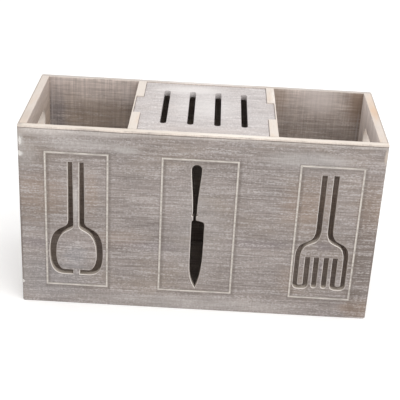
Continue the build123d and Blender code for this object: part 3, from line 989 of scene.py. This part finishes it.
print("fret arrises are rounded over", FRET_ROUND / MM, "mm")

# %% [markdown]
# The front is the board that people look at. Its fretted turner, knife and fork and its grooved frames come
# with the copy. Faces within half a groove's width of a groove line belong to the groove, and are limed
# like the outside. Other slanted faces are the sanded arrises of the fretwork, and walls square to the
# front are sawn. The chips are knocked out once the board is dressed, so that they bring their own finish,
# and before it is sliced, while it still has few faces.

# %% Fretted front
CHIPS = (
    ((-177.5, -74.1, 182.6), (4.2, 3.2, 11.0)),
    ((-178.9, -73.6, 169.3), (5.0, 3.0, 6.4)),
    ((-179.2, -73.4, 23.5), (4.0, 2.8, 5.4)),
)


def front_face(co, normal):
    """Which finish a face of the front has."""
    deep = co.y - front_low.y
    if on_rim(co, normal):
        return "rim"
    if normal.y > SQUARE_ON:
        return "inside"
    if deep < GROOVE_DEPTH and off_line(co.x, co.z) < GROOVE_HALF:
        return "outside"
    if off_edges(co) and abs(normal.y) < FRET_WALL:
        return "wall"
    if off_edges(co) and normal.y > -FRET_FLAT:
        return "arris"
    return "outside"


front = board_copy("front_panel", "fretted_front_board")
print("rounded fret edges:", round_fretwork(front))
dress(front, {
    "outside": limed_front,
    "inside": inner_long,
    "rim": sanded_long,
    "arris": fret_arris,
    "wall": saw_cut,
}, front_face)
for place, size in CHIPS:
    knock(front, Vector(place) * MM, Vector(size) * MM)
slice_board(front, X)
slice_board(front, Z)
worn = wear(front, near_outer_edge)
hand_over(front, "front_panel", "box")
print("worn points on the front:", worn)

# %% [markdown]
# The back is a plain board with the same liming. It stands the other way round, so its outside looks back.

# %% Plain back
def back_face(co, normal):
    """Which finish a face of the back has."""
    if on_rim(co, normal):
        return "rim"
    return "inside" if normal.y < -SQUARE_ON else "outside"


back = board_copy("back_panel", "plain_back_board")
dress(back, {"outside": limed_long, "inside": inner_back, "rim": sanded_back}, back_face)
slice_board(back, X)
slice_board(back, Z)
wear(back, near_outer_edge)
hand_over(back, "back_panel", "box")

# %% [markdown]
# The two ends stand between front and back. The hand hole's wall and its rounded mouth were sanded by hand,
# so they are bare. The left and the right end have the same shape, and a loop makes both. Only the finish
# of their insides differs.

# %% Ends with hand holes
HOLE_REACH = 45.0 * MM
HOLE_FOOT = RIM / 2


def end_face(side):
    """The rule for one end's faces, whose outside looks to the left (-1) or to the right (1)."""
    def rule(co, normal):
        """Which finish a face of this end has."""
        if on_rim(co, normal):
            return "rim"
        if normal.x * side > SQUARE_ON:
            return "outside"
        if normal.x * side < -SQUARE_ON:
            return "inside"
        hole = abs(co.y) < HOLE_REACH and HOLE_FOOT < co.z < RIM - WEAR_REACH
        return "hole" if hole else "outside"
    return rule


for side, word, inner in ((-1, "left", inner_left), (1, "right", inner_right)):
    end = board_copy(f"{word}_end_panel", f"{word}_end_board")
    finishes = {"outside": limed_end, "inside": inner, "rim": sanded_end, "hole": sanded_inner}
    dress(end, finishes, end_face(side))
    slice_board(end, Y)
    wear(end, near_rim)
    hand_over(end, f"{word}_end_panel", "box")

# %% [markdown]
# The dividers are limed on both faces like the inside of the box, and bare on top. Their notches are the
# only sharp inner corners, and the lid's tabs hide most of them.

# %% Dividers
NOTCH_REACH = 9.0 * MM


def divider_face(co, normal):
    """Which finish a face of a divider has."""
    notch = co.z > RIM - NOTCH_REACH and abs(normal.x) < SQUARE_ON
    return "rim" if notch or normal.z > LOOKS_UP else "inside"


for word in ("left", "right"):
    divider = board_copy(f"{word}_divider", f"{word}_divider_board")
    dress(divider, {"inside": inner_divider, "rim": sanded_inner}, divider_face)
    slice_board(divider, Y)
    wear(divider, near_rim)
    hand_over(divider, f"{word}_divider", "box")

# %% [markdown]
# The base closes the box below. It shows only deep in the open bays, so a copy with the inside's finish is
# enough.

# %% Base
base = board_copy("base_panel", "base_board")
dress(base, {"inside": inner_long}, lambda co, normal: "inside")
hand_over(base, "base_panel", "box")

# %% [markdown]
# The lid lifts out. Its edges are sharp in the frame and softened on the real one: the mouths of the slots
# were rounded with sandpaper, so that a knife slips in, and the other edges only lost their sharpness. Two
# Bevel modifiers do this, the first on the slots' mouths alone, which a vertex group holds. The top and the
# edges are limed nearly white, and the underside was left like the inside.

# %% Slotted lid
SLOT_ARRIS = 0.8 * MM
LID_ARRIS = 0.15 * MM
LID_SEGMENTS = 2
LID_MARGIN = 12.0 * MM
lid_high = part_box("knife_lid")[1]


def bevel(board, width, segments, group=None):
    """Rounds a board's sharp edges, or those between the points of a vertex group."""
    soft = board.modifiers.new("arris", "BEVEL")
    soft.width = width
    soft.segments = segments
    soft.limit_method = "VGROUP" if group else "ANGLE"
    if group:
        soft.vertex_group = group.name
    only(board)
    bpy.ops.object.modifier_apply(modifier=soft.name)


def slot_mouth(co):
    """Whether a point of the lid lies on the mouth of a slot."""
    inside = abs(co.x) < lid_high.x - 2 * LID_MARGIN and abs(co.y) < lid_high.y - LID_MARGIN
    return inside and co.z > lid_high.z - LID_ARRIS


lid = board_copy("knife_lid", "slotted_lid_board")
mouths = lid.vertex_groups.new(name="mouths")
mouths.add([v.index for v in lid.data.vertices if slot_mouth(v.co)], 1.0, "REPLACE")
bevel(lid, SLOT_ARRIS, ARRIS_SEGMENTS, mouths)
lid.vertex_groups.clear()
bevel(lid, LID_ARRIS, LID_SEGMENTS)


def lid_face(co, normal):
    """Which finish a face of the lid has."""
    return "under" if normal.z < -SQUARE_ON else "top"


dress(lid, {"top": limed_lid, "under": inner_long}, lid_face)
hand_over(lid, "knife_lid", "lid")

# %% [markdown]
# The stage is a plain pale floor that glows a little, like a light table, so that it reads as white paper
# and takes only a faint shadow. One wide soft light hangs in front, above and to the right, as the bright
# left sides of the grooves in the photograph show, and the pale surroundings fill the rest. The plain view
# transform keeps the colours as chosen.

# %% Floor and light
FLOOR_SIZE = 6.0
KEY_SIZE = 1.6
KEY_PLACE = Vector((0.6, -0.7, 1.55))
KEY_POWER = 14.0
FILL = 0.9
FLOOR_GLOW = 0.15
PAPER = "#f7f6f5"
WHITE = "#ffffff"

floor_paint, _, floor_shader = start_material("pale_floor_paint", roughness=0.9, specular=0.1)
floor_shader.inputs["Base Color"].default_value = srgb(PAPER)
floor_shader.inputs["Emission Color"].default_value = srgb(WHITE)
floor_shader.inputs["Emission Strength"].default_value = FLOOR_GLOW
bpy.ops.object.select_all(action="DESELECT")
bpy.ops.mesh.primitive_plane_add(size=FLOOR_SIZE)
floor = bpy.context.object
floor.name = "floor"
floor.data.materials.append(floor_paint)

key = bpy.data.objects.new("soft_key", bpy.data.lights.new("soft_key", "AREA"))
bpy.context.scene.collection.objects.link(key)
key.data.size = KEY_SIZE
key.data.energy = KEY_POWER
key.location = KEY_PLACE
key.rotation_euler = (-KEY_PLACE).to_track_quat("-Z", "Y").to_euler()

surroundings = bpy.data.worlds.new("pale_surroundings")
bpy.context.scene.world = surroundings
surroundings.use_nodes = True
backdrop = surroundings.node_tree.nodes["Background"]
backdrop.inputs["Color"].default_value = srgb(WHITE)
backdrop.inputs["Strength"].default_value = FILL
bpy.context.scene.view_settings.view_transform = "Standard"
print("light:", KEY_POWER, "W over", KEY_SIZE, "m")
